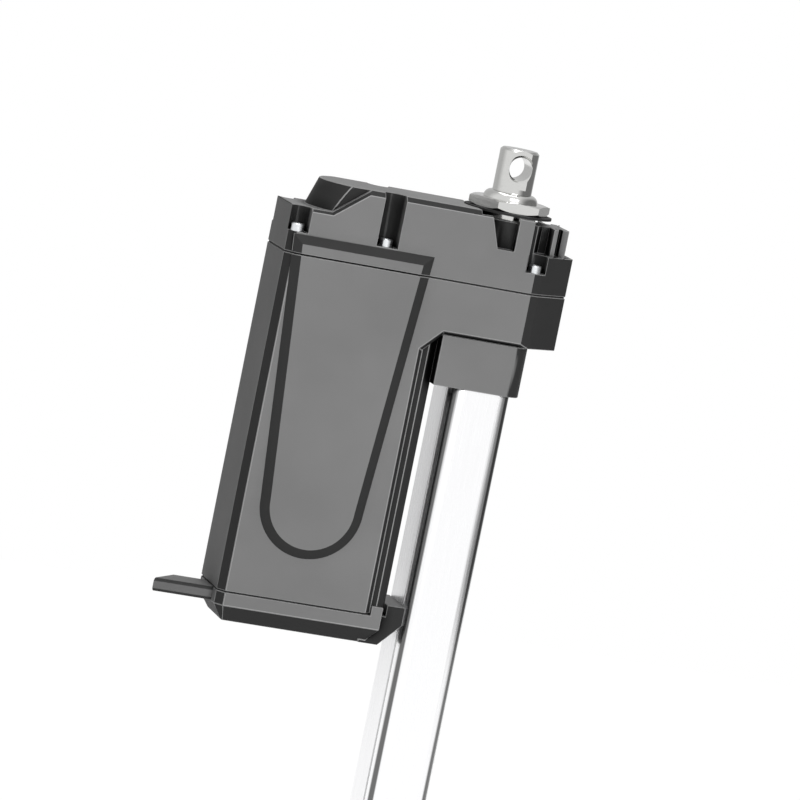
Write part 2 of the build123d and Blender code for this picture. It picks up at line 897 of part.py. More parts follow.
def socket_screws(places, head_z, drive_down, radius, head_radius, head_height, length):
    """Socket head screws on vertical axes, whose heads sit on head_z and point away from the thread."""
    away = 1 if drive_down else -1
    with BuildPart() as screws:
        with BuildSketch(Plane.XY.offset(head_z)):
            with Locations(*places):
                Circle(head_radius)
        extrude(amount=away * head_height)
        rims = screws.edges().filter_by(GeomType.CIRCLE).group_by(Axis.Z)
        chamfer(rims[-1] if drive_down else rims[0], head_height / 10)
        with BuildSketch(Plane.XY.offset(head_z)):
            with Locations(*places):
                Circle(radius)
        extrude(amount=-away * length)
        with BuildSketch(Plane.XY.offset(head_z + away * head_height)):
            with Locations(*places):
                RegularPolygon(socket_radius, 6)
        extrude(amount=-away * socket_depth, mode=Mode.SUBTRACT)
    return screws.part


cover_screw_length = channel_floor_z - case_top_z + screw_bite - slide_gap
write(
    socket_screws(
        screw_places,
        channel_floor_z,
        True,
        screw_radius,
        screw_head_radius,
        screw_head_height,
        cover_screw_length,
    ),
    "cover_screws",
)
cap_screw_seat_z = cap_bottom_z + cap_screw_sunk
write(
    socket_screws(
        cap_screw_places,
        cap_screw_seat_z,
        False,
        cap_screw_radius,
        cap_screw_head_radius,
        cap_screw_head_height,
        case_bottom_z - cap_screw_seat_z + screw_bite - slide_gap,
    ),
    "cap_screws",
)

# Rear clevis: a round bar with flats and a cross bore, flared into a chamfered hexagon

clevis_seat_z = top_z - seal_sunk + seal_thickness
hex_top_z = clevis_seat_z + hex_height
stem_bottom_z = bearing_top_z + seat_gap

with BuildPart() as rear_clevis:
    with BuildSketch(Plane.XY.offset(clevis_seat_z)):
        RegularPolygon(hex_across_flats / 2, 6, major_radius=False)
    extrude(amount=hex_height)
    with BuildSketch(Plane.XZ):
        with BuildLine():
            hex_corner = hex_across_flats / math.sqrt(3)
            Polyline(
                (0, clevis_seat_z),
                (hex_corner - 2 * hex_chamfer, clevis_seat_z),
                (hex_corner, clevis_seat_z + hex_chamfer),
                (hex_corner, hex_top_z - hex_chamfer / 2),
                (hex_corner - 2 * hex_chamfer, hex_top_z),
                (0, hex_top_z),
                close=True,
            )
        make_face()
    revolve(axis=Axis.Z, mode=Mode.INTERSECT)
    with BuildSketch(Plane.XZ):
        with BuildLine():
            Polyline(
                (bar_radius + flare_radius, hex_top_z),
                (0, hex_top_z),
                (0, bar_top),
                (bar_radius - bar_chamfer, bar_top),
                (bar_radius, bar_top - bar_chamfer),
                (bar_radius, hex_top_z + flare_radius),
            )
            RadiusArc(
                (bar_radius, hex_top_z + flare_radius),
                (bar_radius + flare_radius, hex_top_z),
                flare_radius,
            )
        make_face()
    revolve(axis=Axis.Z)
    for side in (-1, 1):
        with Locations((0, side * (flat_depth + bar_radius), 0)):
            Box(3 * bar_radius, 2 * bar_radius, 2 * (bar_top + overlap), mode=Mode.SUBTRACT)
    add(clevis_bore(0), mode=Mode.SUBTRACT)
    extrude(disc(stem_bottom_z, stem_radius), amount=clevis_seat_z - stem_bottom_z)
    extrude(
        disc(stem_bottom_z, bearing_radius - race_wall),
        amount=stem_hollow,
        mode=Mode.SUBTRACT,
    )

write(rear_clevis.part, "rear_clevis")

with BuildPart() as clevis_seal:
    extrude(ring_sketch(top_z - seal_sunk, seal_radius, stem_radius + bore_gap), amount=seal_thickness)

write(clevis_seal.part, "clevis_seal")

# Outer tube: a rounded extrusion with a shallow groove down each side

with BuildPart() as outer_tube:
    with BuildSketch(Plane.XY.offset(tube_bottom_z)):
        add(tube_outline(tube_bottom_z))
        add(tube_outline(tube_bottom_z, -tube_wall), mode=Mode.SUBTRACT)
        for side in (-1, 1):
            with Locations((side * tube_width / 2, front_y + groove_from_front)):
                Rectangle(tube_groove, 2 * tube_groove, mode=Mode.SUBTRACT)
    extrude(amount=tube_length)

write(outer_tube.part, "outer_tube")

# Front guide: the plug and flange that carry the push rod, with its wiper

with BuildPart() as front_guide:
    extrude(tube_outline(guide_bottom_z), amount=guide_flange)
    flange_rim = front_guide.edges().group_by(Axis.Z)[0]
    chamfer(flange_rim, guide_chamfer)
    extrude(tube_outline(tube_bottom_z, -tube_wall - seat_gap), amount=guide_plug_length)
    extrude(
        disc(guide_bottom_z, rod_radius + running_gap),
        amount=guide_flange + guide_plug_length,
        mode=Mode.SUBTRACT,
    )
    extrude(
        disc(guide_bottom_z, rod_radius + wiper_width + seat_gap),
        amount=wiper_height,
        mode=Mode.SUBTRACT,
    )

write(front_guide.part, "front_guide")

with BuildPart() as rod_wiper:
    extrude(
        ring_sketch(guide_bottom_z, rod_radius + wiper_width, rod_radius + running_gap),
        amount=wiper_height,
    )

write(rod_wiper.part, "rod_wiper")

# Spindle bearing: two grooved races with balls between them

ball_orbit = (journal_radius + bearing_radius) / 2
ball_radius = (bearing_radius - journal_radius - 2 * race_wall) / 2 + ball_bite
bearing_middle_z = bearing_top_z - bearing_height / 2


def race(inner, outer):
    """One bearing race with the groove that its balls run in."""
    with BuildPart() as ring:
        extrude(ring_sketch(bearing_bottom_z, outer, inner), amount=bearing_height)
        with BuildSketch(Plane.XZ):
            with Locations((ball_orbit, bearing_middle_z)):
                Circle(ball_radius + ball_gap)
        revolve(axis=Axis.Z, mode=Mode.SUBTRACT)
    return ring.part


write(race(bearing_radius - race_wall, bearing_radius), "bearing_outer_race")
write(race(journal_radius + bore_gap, journal_radius + race_wall), "bearing_inner_race")

with BuildPart() as bearing_balls:
    with Locations(Plane.XY.offset(bearing_middle_z)):
        with PolarLocations(ball_orbit, ball_count):
            Sphere(ball_radius)

write(bearing_balls.part, "bearing_balls")

# Spindle with its gear and retaining ring

spindle_top_z = bearing_top_z + ring_thickness + ring_land
spindle_bottom_z = tube_bottom_z + guide_plug_length - spindle_past_guide
ring_bottom_z = bearing_top_z + seat_gap

with BuildPart() as spindle:
    extrude(disc(spindle_bottom_z, spindle_radius), amount=spindle_top_z - spindle_bottom_z)
    ends = spindle.edges().filter_by(GeomType.CIRCLE)
    chamfer(ends, spindle_chamfer)
    extrude(
        ring_sketch(ring_bottom_z, spindle_radius + overlap, spindle_radius - ring_groove),
        amount=ring_thickness,
        mode=Mode.SUBTRACT,
    )

write(spindle.part, "spindle")

with BuildPart() as retaining_ring:
    with BuildSketch(Plane.XY.offset(ring_bottom_z + ring_play / 2)):
        Circle(spindle_radius + ring_width - ring_groove)
        Circle(spindle_radius - ring_groove + seat_gap, mode=Mode.SUBTRACT)
        with Locations((spindle_radius, 0)):
            Rectangle(2 * ring_width, ring_width, mode=Mode.SUBTRACT)
    extrude(amount=ring_thickness - ring_play)

write(retaining_ring.part, "retaining_ring")

first_mesh_z = parting_z + first_mesh_low
second_mesh_z = parting_z + second_mesh_low
third_mesh_z = parting_z + third_mesh_low
pinion_phase = 0.0
wheel_a_phase = meshed_phase(pinion_phase, pinion_teeth, first_wheel_teeth)
wheel_b_phase = meshed_phase(pinion_phase, pinion_teeth, second_wheel_teeth)
spindle_gear_phase = meshed_phase(pinion_phase, pinion_teeth, spindle_gear_teeth)

with BuildPart() as spindle_gear:
    extrude(
        gear_outline(third_mesh_z, 0, spindle_gear_teeth, spindle_gear_phase),
        amount=gear_width,
    )
    hub_top_z = bearing_bottom_z - seat_gap
    extrude(disc(third_mesh_z, gear_hub_radius), amount=hub_top_z - third_mesh_z)
    extrude(
        disc(third_mesh_z, spindle_radius + bore_gap),
        amount=hub_top_z - third_mesh_z,
        mode=Mode.SUBTRACT,
    )
    with Locations(Plane.XY.offset(third_mesh_z)):
        with PolarLocations(web_hole_orbit, web_hole_count):
            Cylinder(
                web_hole_radius,
                gear_width,
                align=(Align.CENTER, Align.CENTER, Align.MIN),
                mode=Mode.SUBTRACT,
            )

write(spindle_gear.part, "spindle_gear")

# Idler gears: a wheel and a pinion in one piece, turning on fixed pins


def idler_gear(centre_x, wheel_z, wheel_teeth, wheel_phase, pinion_top_z):
    """A compound gear whose pinion stands on its wheel, with a hub at each end."""
    low_z = gear_floor_z + air_gap
    high_z = gear_roof_z - air_gap
    centre = (centre_x, 0)
    with BuildPart() as gear:
        extrude(disc(low_z, idler_hub_radius, centre), amount=high_z - low_z)
        extrude(gear_outline(wheel_z, centre_x, wheel_teeth, wheel_phase), amount=gear_width)
        extrude(
            gear_outline(wheel_z + gear_width, centre_x, pinion_teeth, pinion_phase),
            amount=pinion_top_z - wheel_z - gear_width,
        )
        extrude(
            disc(low_z, idler_pin_radius + bore_gap, centre),
            amount=high_z - low_z,
            mode=Mode.SUBTRACT,
        )
    return gear.part


write(
    idler_gear(
        idler_a_x,
        first_mesh_z,
        first_wheel_teeth,
        wheel_a_phase,
        second_mesh_z + gear_width + pinion_overlap,
    ),
    "idler_gear_a",
)
write(
    idler_gear(
        idler_b_x,
        second_mesh_z,
        second_wheel_teeth,
        wheel_b_phase,
        third_mesh_z + gear_width + pinion_overlap,
    ),
    "idler_gear_b",
)

with BuildPart() as idler_pins:
    for pin_x in (idler_a_x, idler_b_x):
        pin_low_z = gear_floor_z - pin_seat + seat_gap
        pin_high_z = gear_roof_z + pin_seat - seat_gap
        extrude(disc(pin_low_z, idler_pin_radius, (pin_x, 0)), amount=pin_high_z - pin_low_z)

write(idler_pins.part, "idler_pins")

# Motor: can, magnets, bushes, end plate, brushes and the rotor on its shaft

can_inner_radius = motor_radius - motor_shell
rotor_top_z = motor_top_z - rotor_below_top
commutator_top_z = motor_bottom_z + plate_thickness + commutator_clear + commutator_length
rotor_bottom_z = commutator_top_z + seat_gap + winding_length
rotor_length = rotor_top_z - rotor_bottom_z
shaft_top_z = gear_roof_z + encoder_reach
motor_axis = (motor_x, 0)

with BuildPart() as motor_can:
    extrude(disc(motor_bottom_z, motor_radius, motor_axis), amount=motor_length)
    extrude(
        disc(motor_bottom_z, can_inner_radius, motor_axis),
        amount=motor_length - motor_shell,
        mode=Mode.SUBTRACT,
    )
    extrude(disc(motor_top_z, motor_boss_radius, motor_axis), amount=motor_boss_height)
    extrude(
        disc(motor_top_z - motor_shell, motor_bush_radius + bore_gap, motor_axis),
        amount=motor_shell + motor_boss_height,
        mode=Mode.SUBTRACT,
    )

write(motor_can.part, "motor_can")

with BuildPart() as motor_magnets:
    with BuildSketch(Plane.XY.offset(rotor_bottom_z)):
        with Locations(motor_axis):
            Circle(can_inner_radius - seat_gap)
            Circle(can_inner_radius - magnet_thickness, mode=Mode.SUBTRACT)
            Rectangle(2 * motor_radius, magnet_gap, mode=Mode.SUBTRACT)
    extrude(amount=rotor_length)

write(motor_magnets.part, "motor_magnets")

plate_top_z = motor_bottom_z + plate_thickness

with BuildPart() as motor_end_plate:
    extrude(
        ring_sketch(motor_bottom_z, can_inner_radius - seat_gap, motor_bush_radius + bore_gap, motor_axis),
        amount=plate_thickness,
    )
    # holders that carry the brushes beside the commutator
    for side in (-1, 1):
        with Locations((
            motor_x + side * (commutator_radius + brush_length / 2 + brush_wall),
            0,
            plate_top_z,
        )):
            Box(
                brush_length,
                brush_width + 2 * brush_wall,
                brush_rise + brush_height + brush_wall,
                align=(Align.CENTER, Align.CENTER, Align.MIN),
            )
        with Locations((motor_x + side * (commutator_radius + brush_length / 2), 0, plate_top_z)):
            Box(
                brush_length + 2 * overlap,
                brush_width + 2 * seat_gap,
                2 * (brush_rise + brush_height + seat_gap),
                mode=Mode.SUBTRACT,
            )
    extrude(
        ring_sketch(motor_bottom_z, can_inner_radius - seat_gap, motor_bush_radius + bore_gap, motor_axis),
        amount=plate_thickness,
    )

write(motor_end_plate.part, "motor_end_plate")

with BuildPart() as motor_brushes:
    for side in (-1, 1):
        brush_middle = commutator_radius + slide_gap + brush_length / 2
        with Locations((motor_x + side * brush_middle, 0, plate_top_z + brush_rise)):
            Box(
                brush_length,
                brush_width,
                brush_height,
                align=(Align.CENTER, Align.CENTER, Align.MIN),
            )

write(motor_brushes.part, "motor_brushes")

with BuildPart() as motor_bushes:
    for bush_z, bush_height in (
        (motor_top_z - motor_shell, motor_shell + motor_boss_height),
        (motor_bottom_z, plate_thickness),
    ):
        extrude(
            ring_sketch(bush_z, motor_bush_radius, motor_shaft_radius + bore_gap, motor_axis),
            amount=bush_height,
        )

write(motor_bushes.part, "motor_bushes")

with BuildPart() as motor_shaft:
    extrude(
        disc(motor_bottom_z + seat_gap, motor_shaft_radius, motor_axis),
        amount=shaft_top_z - motor_bottom_z - seat_gap,
    )
    chamfer(motor_shaft.edges().filter_by(GeomType.CIRCLE), spindle_chamfer / 2)

write(motor_shaft.part, "motor_shaft")

with BuildPart() as armature:
    extrude(
        ring_sketch(rotor_bottom_z, rotor_radius, motor_shaft_radius + bore_gap, motor_axis),
        amount=rotor_length,
    )
    with Locations((motor_x, 0, rotor_bottom_z)):
        with PolarLocations(rotor_radius, rotor_slots):
            Box(
                slot_depth,
                slot_width,
                rotor_length,
                align=(Align.CENTER, Align.CENTER, Align.MIN),
                mode=Mode.SUBTRACT,
            )

write(armature.part, "armature")

with BuildPart() as armature_windings:
    for winding_z in (rotor_top_z, rotor_bottom_z - winding_length):
        extrude(
            ring_sketch(winding_z, winding_outer_radius, winding_inner_radius, motor_axis),
            amount=winding_length,
        )
    chamfer(armature_windings.edges().filter_by(GeomType.CIRCLE), winding_length / 6)

write(armature_windings.part, "armature_windings")

with BuildPart() as commutator:
    commutator_bottom_z = commutator_top_z - commutator_length
    extrude(
        ring_sketch(
            commutator_bottom_z,
            commutator_radius,
            motor_shaft_radius + bore_gap,
            motor_axis,
        ),
        amount=commutator_length,
    )
    with Locations((motor_x, 0, commutator_bottom_z)):
        with PolarLocations(commutator_radius, rotor_slots):
            Box(
                bar_slot_depth,
                bar_slot_width,
                commutator_length,
                align=(Align.CENTER, Align.CENTER, Align.MIN),
                mode=Mode.SUBTRACT,
            )

write(commutator.part, "commutator")

with BuildPart() as motor_pinion:
    extrude(
        gear_outline(first_mesh_z - pinion_overlap, motor_x, pinion_teeth, pinion_phase),
        amount=gear_width + 2 * pinion_overlap,
    )
    extrude(
        disc(first_mesh_z - pinion_overlap, motor_shaft_radius + bore_gap, motor_axis),
        amount=gear_width + 2 * pinion_overlap,
        mode=Mode.SUBTRACT,
    )

write(motor_pinion.part, "motor_pinion")

# Turn sensor over the motor shaft

with BuildPart() as encoder_magnet:
    extrude(
        ring_sketch(
            shaft_top_z - encoder_height,
            encoder_radius,
            motor_shaft_radius + bore_gap,
            motor_axis,
        ),
        amount=encoder_height,
    )

write(encoder_magnet.part, "encoder_magnet")

with BuildPart() as encoder_board:
    extrude(disc(board_top_z - board_thickness, board_radius, motor_axis), amount=board_thickness)

write(encoder_board.part, "encoder_board")

# Drive nut, its magnet, the push rod and the front eye

inner_half_depth = tube_depth / 2 - tube_wall

with BuildPart() as drive_nut:
    with BuildSketch(Plane.XY.offset(nut_bottom_z)):
        add(tube_outline(nut_bottom_z, -tube_wall - slide_gap))
        with Locations((0, nut_back_reach + inner_half_depth)):
            Rectangle(tube_width, 2 * inner_half_depth, mode=Mode.SUBTRACT)
    extrude(amount=nut_length)
    extrude(
        disc(nut_bottom_z, spindle_radius + bore_gap),
        amount=nut_length,
        mode=Mode.SUBTRACT,
    )
    extrude(
        disc(nut_bottom_z, rod_radius + seat_gap),
        amount=rod_in_nut,
        mode=Mode.SUBTRACT,
    )
    with Locations((0, nut_back_reach, nut_top_z - nut_length / 3)):
        Box(magnet_width, 2 * magnet_depth, magnet_width, mode=Mode.SUBTRACT)

write(drive_nut.part, "drive_nut")

with BuildPart() as nut_magnet:
    with Locations((0, nut_back_reach - magnet_depth / 2, nut_top_z - nut_length / 3)):
        Box(
            magnet_width - 2 * seat_gap,
            magnet_depth - 2 * seat_gap,
            magnet_width - 2 * seat_gap,
        )

write(nut_magnet.part, "nut_magnet")

with BuildPart() as push_rod:
    rod_top_z = nut_bottom_z + rod_in_nut - seat_gap
    extrude(ring_sketch(rod_bottom_z, rod_radius, rod_bore_radius), amount=rod_top_z - rod_bottom_z)

write(push_rod.part, "push_rod")

with BuildPart() as front_eye:
    eye_bottom_z = eye_z - eye_end
    with BuildSketch(Plane.XZ):
        with BuildLine():
            Polyline(
                (0, rod_bottom_z),
                (eye_collar_radius - eye_chamfer, rod_bottom_z),
                (eye_collar_radius, rod_bottom_z - eye_chamfer),
                (eye_collar_radius, rod_bottom_z - eye_collar_height),
                (bar_radius, rod_bottom_z - eye_collar_height),
                (bar_radius, eye_bottom_z + bar_chamfer),
                (bar_radius - bar_chamfer, eye_bottom_z),
                (0, eye_bottom_z),
                close=True,
            )
        make_face()
    revolve(axis=Axis.Z)
    for side in (-1, 1):
        with Locations((0, side * (flat_depth + bar_radius), (eye_z + eye_bottom_z) / 2)):
            Box(
                3 * bar_radius,
                2 * bar_radius,
                eye_z - eye_bottom_z + eye_flat_rise,
                mode=Mode.SUBTRACT,
            )
    add(clevis_bore(eye_z), mode=Mode.SUBTRACT)
    extrude(disc(rod_bottom_z, rod_bore_radius - seat_gap), amount=eye_plug_length)

write(front_eye.part, "front_eye")

# Electronics: the end position sensors in the tube and the control board in the end cap

strip_back_y = inner_half_depth - seat_gap
strip_front_y = strip_back_y - board_thickness
strip_top_z = tube_top_z - seat_gap
strip_bottom_z = tube_bottom_z + guide_plug_length + seat_gap

with BuildPart() as sensor_strip:
    with Locations((0, (strip_back_y + strip_front_y) / 2, strip_bottom_z)):
        Box(
            strip_width,
            board_thickness,
            strip_top_z - strip_bottom_z,
            align=(Align.CENTER, Align.CENTER, Align.MIN),
        )

write(sensor_strip.part, "sensor_strip")

with BuildPart() as end_sensors:
    magnet_z = nut_top_z - nut_length / 3
    for sensor_z in (magnet_z, magnet_z - stroke):
        with Locations((0, strip_front_y - sensor_depth / 2, sensor_z)):
            Box(sensor_width, sensor_depth, sensor_width)

write(end_sensors.part, "end_sensors")

with BuildPart() as control_board:
    with BuildSketch(Plane.XY.offset(cap_top_z - board_sunk)):
        with Locations(motor_axis):
            Rectangle(control_board_width, housing_depth - 2 * wall - 2 * air_gap)
    extrude(amount=board_thickness)

write(control_board.part, "control_board")
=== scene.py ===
"""Electric rod actuator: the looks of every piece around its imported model."""

import logging
import math
from dataclasses import dataclass
from enum import Enum

import bmesh
import bpy
from mathutils import Matrix, Vector

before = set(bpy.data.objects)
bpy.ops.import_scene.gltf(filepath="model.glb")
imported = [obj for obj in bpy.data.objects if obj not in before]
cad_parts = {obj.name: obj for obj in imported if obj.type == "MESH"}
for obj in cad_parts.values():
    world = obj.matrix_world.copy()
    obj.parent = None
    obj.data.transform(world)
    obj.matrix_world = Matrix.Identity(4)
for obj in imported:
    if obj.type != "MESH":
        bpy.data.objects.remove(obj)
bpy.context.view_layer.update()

logging.basicConfig(level=logging.INFO, format="%(name)s: %(message)s")
log = logging.getLogger("rod_actuator")

MM = 0.001
IMAGE_PIXELS = 800
WHITE = "FFFFFF"


class Metal(Enum):
    """How a metal piece was made, with the scale of its marks along X, Y and Z.

    A small number draws the marks out: into rings on turned bar, into lines on extrusions.
    """

    TURNED = (0.05, 0.05, 1.0)
    EXTRUDED = (1.0, 1.0, 0.01)
    PLATED = (0.4, 0.4, 0.4)
    SINTERED = (1.0, 1.0, 1.0)


def linear(code: str) -> tuple[float, float, float, float]:
    """Turn an sRGB hex colour into linear light.

    Args:
        code: Six hex digits, red first.

    Returns:
        Linear red, green and blue, with an alpha of 1.
    """
    channels = [int(code[i:i + 2], 16) / 255 for i in (0, 2, 4)]
    bright = [c / 12.92 if c <= 0.04045 else ((c + 0.055) / 1.055) ** 2.4 for c in channels]
    return (*bright, 1.0)


def add_node(
    tree: bpy.types.NodeTree,
    kind: str,
    inputs: dict | None = None,
    **settings: object,
) -> bpy.types.Node:
    """Add a shader node, with its settings, values and links.

    Args:
        tree: The node tree that gets it.
        kind: The node's type name.
        inputs: Values, or output sockets to link, by input name or number.
        settings: Properties of the node itself.

    Returns:
        The new node.
    """
    node = tree.nodes.new(kind)
    for name, value in settings.items():
        setattr(node, name, value)
    for key, value in (inputs or {}).items():
        if isinstance(value, bpy.types.NodeSocket):
            tree.links.new(value, node.inputs[key])
        else:
            node.inputs[key].default_value = value
    return node


def new_material(name: str) -> tuple[bpy.types.Material, bpy.types.NodeTree]:
    """Make an empty node material.

    Args:
        name: The real material's name.

    Returns:
        The material and its emptied node tree.
    """
    material = bpy.data.materials.new(name)
    material.use_nodes = True
    material.node_tree.nodes.clear()
    return material, material.node_tree


def slant_share(tree: bpy.types.NodeTree, square: float, slanted: float) -> bpy.types.NodeSocket:
    """Tell how far a face slants away from the part's own three directions.

    Args:
        tree: The material's nodes.
        square: The largest share of the normal along one axis down to which a face is square.
        slanted: The share from which it counts as fully slanted.

    Returns:
        0 on a square face, 1 on a slanted one.
    """
    normal = add_node(tree, "ShaderNodeTexCoord").outputs["Normal"]
    size = add_node(
        tree, "ShaderNodeVectorMath", {0: normal}, operation="ABSOLUTE",
    ).outputs["Vector"]
    axes = add_node(tree, "ShaderNodeSeparateXYZ", {"Vector": size}).outputs
    most = axes["X"]
    for other in ("Y", "Z"):
        most = add_node(
            tree, "ShaderNodeMath", {0: most, 1: axes[other]}, operation="MAXIMUM",
        ).outputs["Value"]
    return add_node(
        tree, "ShaderNodeMapRange",
        {"Value": most, "From Min": square, "From Max": slanted, "To Min": 0.0, "To Max": 1.0},
    ).outputs["Result"]


@dataclass(frozen=True)
class MouldedPlastic:
    """A moulded plastic with a fine matt grain, whose slanted faces are painted darker as painted
    shade.

    The mould of such a housing is spark eroded, and its fine grain scatters light. Faces that
    slant away from the part's three directions, such as bevels, cones and round channels, are
    painted a deeper colour as painted shade, and an ambient occlusion node paints shade into
    channels and inner corners. The real grain is about 0.05 mm wide, and is drawn coarser so that
    the render shows it.
    """

    name: str
    colour: str
    slant_shade_colour: str
    roughness: float = 0.5
    roughness_swing: float = 0.08
    gloss: float = 0.06
    ior: float = 1.5
    grain_mm: float = 0.35
    grain_detail: float = 3.0
    grain_roughness: float = 0.6
    grain_span: tuple[float, float] = (0.35, 0.65)
    relief_mm: float = 0.02
    relief_strength: float = 0.35
    cloud_mm: float = 40.0
    cloud_detail: float = 2.0
    cloud_span: tuple[float, float] = (0.3, 0.7)
    cloud_swing: float = 0.05
    square_share: float = 0.992
    slanted_share: float = 0.965
    corner_mm: float = 8.0
    corner_dark: float = 0.03
    corner_span: tuple[float, float] = (0.65, 1.0)
    corner_samples: int = 8
    facing_share: float = 0.9
    set_back_mm: tuple[float, float] | None = None

    def build(self) -> bpy.types.Material:
        """Build the finish and return its material."""
        material, tree = new_material(self.name)
        place = add_node(tree, "ShaderNodeTexCoord")
        grain = add_node(
            tree, "ShaderNodeTexNoise",
            {"Vector": place.outputs["Object"], "Scale": 1 / (self.grain_mm * MM),
             "Detail": self.grain_detail, "Roughness": self.grain_roughness},
        ).outputs["Fac"]
        colour = add_node(
            tree, "ShaderNodeVectorMath",
            {0: self._colour(tree, place), "Scale": self._shade(tree, place)}, operation="SCALE",
        ).outputs["Vector"]
        rough = add_node(
            tree, "ShaderNodeMapRange",
            {"Value": grain, "From Min": self.grain_span[0], "From Max": self.grain_span[1],
             "To Min": self.roughness - self.roughness_swing,
             "To Max": self.roughness + self.roughness_swing},
        ).outputs["Result"]
        bump = add_node(
            tree, "ShaderNodeBump",
            {"Height": grain, "Strength": self.relief_strength, "Distance": self.relief_mm * MM},
        ).outputs["Normal"]
        shader = add_node(
            tree, "ShaderNodeBsdfPrincipled",
            {"Base Color": colour, "Roughness": rough, "IOR": self.ior,
             "Specular IOR Level": self.gloss, "Normal": bump},
        )
        add_node(tree, "ShaderNodeOutputMaterial", {"Surface": shader.outputs["BSDF"]})
        return material

    def _colour(self, tree: bpy.types.NodeTree, place: bpy.types.Node) -> bpy.types.NodeSocket:
        """Paint slanted faces, and faces set back in recesses, a deeper colour as painted shade.

        Args:
            tree: The material's nodes.
            place: The texture coordinates.

        Returns:
            The colour before shading.
        """
        slant_shade_share = slant_share(tree, self.square_share, self.slanted_share)
        if self.set_back_mm is not None:
            slant_shade_share = add_node(
                tree, "ShaderNodeMath", {0: slant_shade_share, 1: self._set_back(tree, place)},
                operation="MAXIMUM",
            ).outputs["Value"]
        # painted shade: slanted and set-back faces take the deeper colour
        return add_node(
            tree, "ShaderNodeMix",
            {"Factor": slant_shade_share, "A": linear(self.colour), "B": linear(self.slant_shade_colour)},
            data_type="RGBA",
        ).outputs["Result"]

    def _shade(self, tree: bpy.types.NodeTree, place: bpy.types.Node) -> bpy.types.NodeSocket:
        """Work out wide faint clouds, times the painted shade of channels and inner corners.

        Args:
            tree: The material's nodes.
            place: The texture coordinates.

        Returns:
            The factor on the colour, about 1 on an open face.
        """
        cloud = add_node(
            tree, "ShaderNodeTexNoise",
            {"Vector": place.outputs["Object"], "Scale": 1 / (self.cloud_mm * MM),
             "Detail": self.cloud_detail},
        ).outputs["Fac"]
        clouded = add_node(
            tree, "ShaderNodeMapRange",
            {"Value": cloud, "From Min": self.cloud_span[0], "From Max": self.cloud_span[1],
             "To Min": 1 - self.cloud_swing, "To Max": 1 + self.cloud_swing},
        ).outputs["Result"]
        # painted shade: an ambient occlusion node darkens channels and inner corners
        openness = add_node(
            tree, "ShaderNodeAmbientOcclusion", {"Distance": self.corner_mm * MM},
            samples=self.corner_samples, only_local=True,
        ).outputs["AO"]
        dust_and_shade = add_node(
            tree, "ShaderNodeMapRange",
            {"Value": openness, "From Min": self.corner_span[0], "From Max": self.corner_span[1],
             "To Min": self.corner_dark, "To Max": 1.0},
        ).outputs["Result"]
        return add_node(
            tree, "ShaderNodeMath", {0: clouded, 1: dust_and_shade}, operation="MULTIPLY",
        ).outputs["Value"]

    def _set_back(self, tree: bpy.types.NodeTree, place: bpy.types.Node) -> bpy.types.NodeSocket:
        """Find front and back faces that lie deeper than the housing's outer planes, which get
        painted shade.

        Args:
            tree: The material's nodes.
            place: The texture coordinates.

        Returns:
            1 on such a face, such as the cap's arm or the foot of the nose, and 0 elsewhere.
        """
        facing, depth = (
            add_node(
                tree, "ShaderNodeMath",
                {0: add_node(
                    tree, "ShaderNodeSeparateXYZ", {"Vector": place.outputs[kind]},
                ).outputs["Y"]},
                operation="ABSOLUTE",
            ).outputs["Value"]
            for kind in ("Normal", "Object")
        )
        facing = add_node(
            tree, "ShaderNodeMath", {0: facing, 1: self.facing_share}, operation="GREATER_THAN",
        ).outputs["Value"]
        low, high = self.set_back_mm
        deeper = add_node(
            tree, "ShaderNodeMath",
            {0: depth, 1: (low + high) / 2 * MM, 2: (high - low) / 2 * MM}, operation="COMPARE",
        ).outputs["Value"]
        return add_node(
            tree, "ShaderNodeMath", {0: facing, 1: deeper}, operation="MULTIPLY",
        ).outputs["Value"]


@dataclass(frozen=True)
class BareMetal:
    """A metal surface whose fine marks follow the way that it was made.

    Real marks are about 0.05 mm apart, and are drawn coarser so that the render shows them.
    """

    name: str
    colour: str
    made: Metal
    roughness: float
    roughness_swing: float = 0.06
    mark_mm: float = 0.25
    mark_detail: float = 2.0
    mark_span: tuple[float, float] = (0.3, 0.7)
    relief_mm: float = 0.01
    relief_strength: float = 0.2
    corner_shade_colour: str | None = None
    square_share: float = 0.88
    slanted_share: float = 0.82

    def build(self) -> bpy.types.Material:
        """Build the finish and return its material."""
        material, tree = new_material(self.name)
        place = add_node(tree, "ShaderNodeTexCoord").outputs["Object"]
        drawn_out = add_node(
            tree, "ShaderNodeMapping", {"Vector": place, "Scale": self.made.value},
        ).outputs["Vector"]
        marks = add_node(
            tree, "ShaderNodeTexNoise",
            {"Vector": drawn_out, "Scale": 1 / (self.mark_mm * MM), "Detail": self.mark_detail},
        ).outputs["Fac"]
        rough = add_node(
            tree, "ShaderNodeMapRange",
            {"Value": marks, "From Min": self.mark_span[0], "From Max": self.mark_span[1],
             "To Min": self.roughness - self.roughness_swing,
             "To Max": self.roughness + self.roughness_swing},
        ).outputs["Result"]
        bump = add_node(
            tree, "ShaderNodeBump",
            {"Height": marks, "Strength": self.relief_strength, "Distance": self.relief_mm * MM},
        ).outputs["Normal"]
        colour = linear(self.colour)
        # painted shade: faces that slant away from the part's three axes, such as round corners,
        # take the darker colour
        if self.corner_shade_colour is not None:
            corner = slant_share(tree, self.square_share, self.slanted_share)
            colour = add_node(
                tree, "ShaderNodeMix",
                {"Factor": corner, "A": colour, "B": linear(self.corner_shade_colour)},
                data_type="RGBA",
            ).outputs["Result"]
        shader = add_node(
            tree, "ShaderNodeBsdfPrincipled",
            {"Base Color": colour, "Metallic": 1.0, "Roughness": rough, "Normal": bump},
        )
        add_node(tree, "ShaderNodeOutputMaterial", {"Surface": shader.outputs["BSDF"]})
        return material


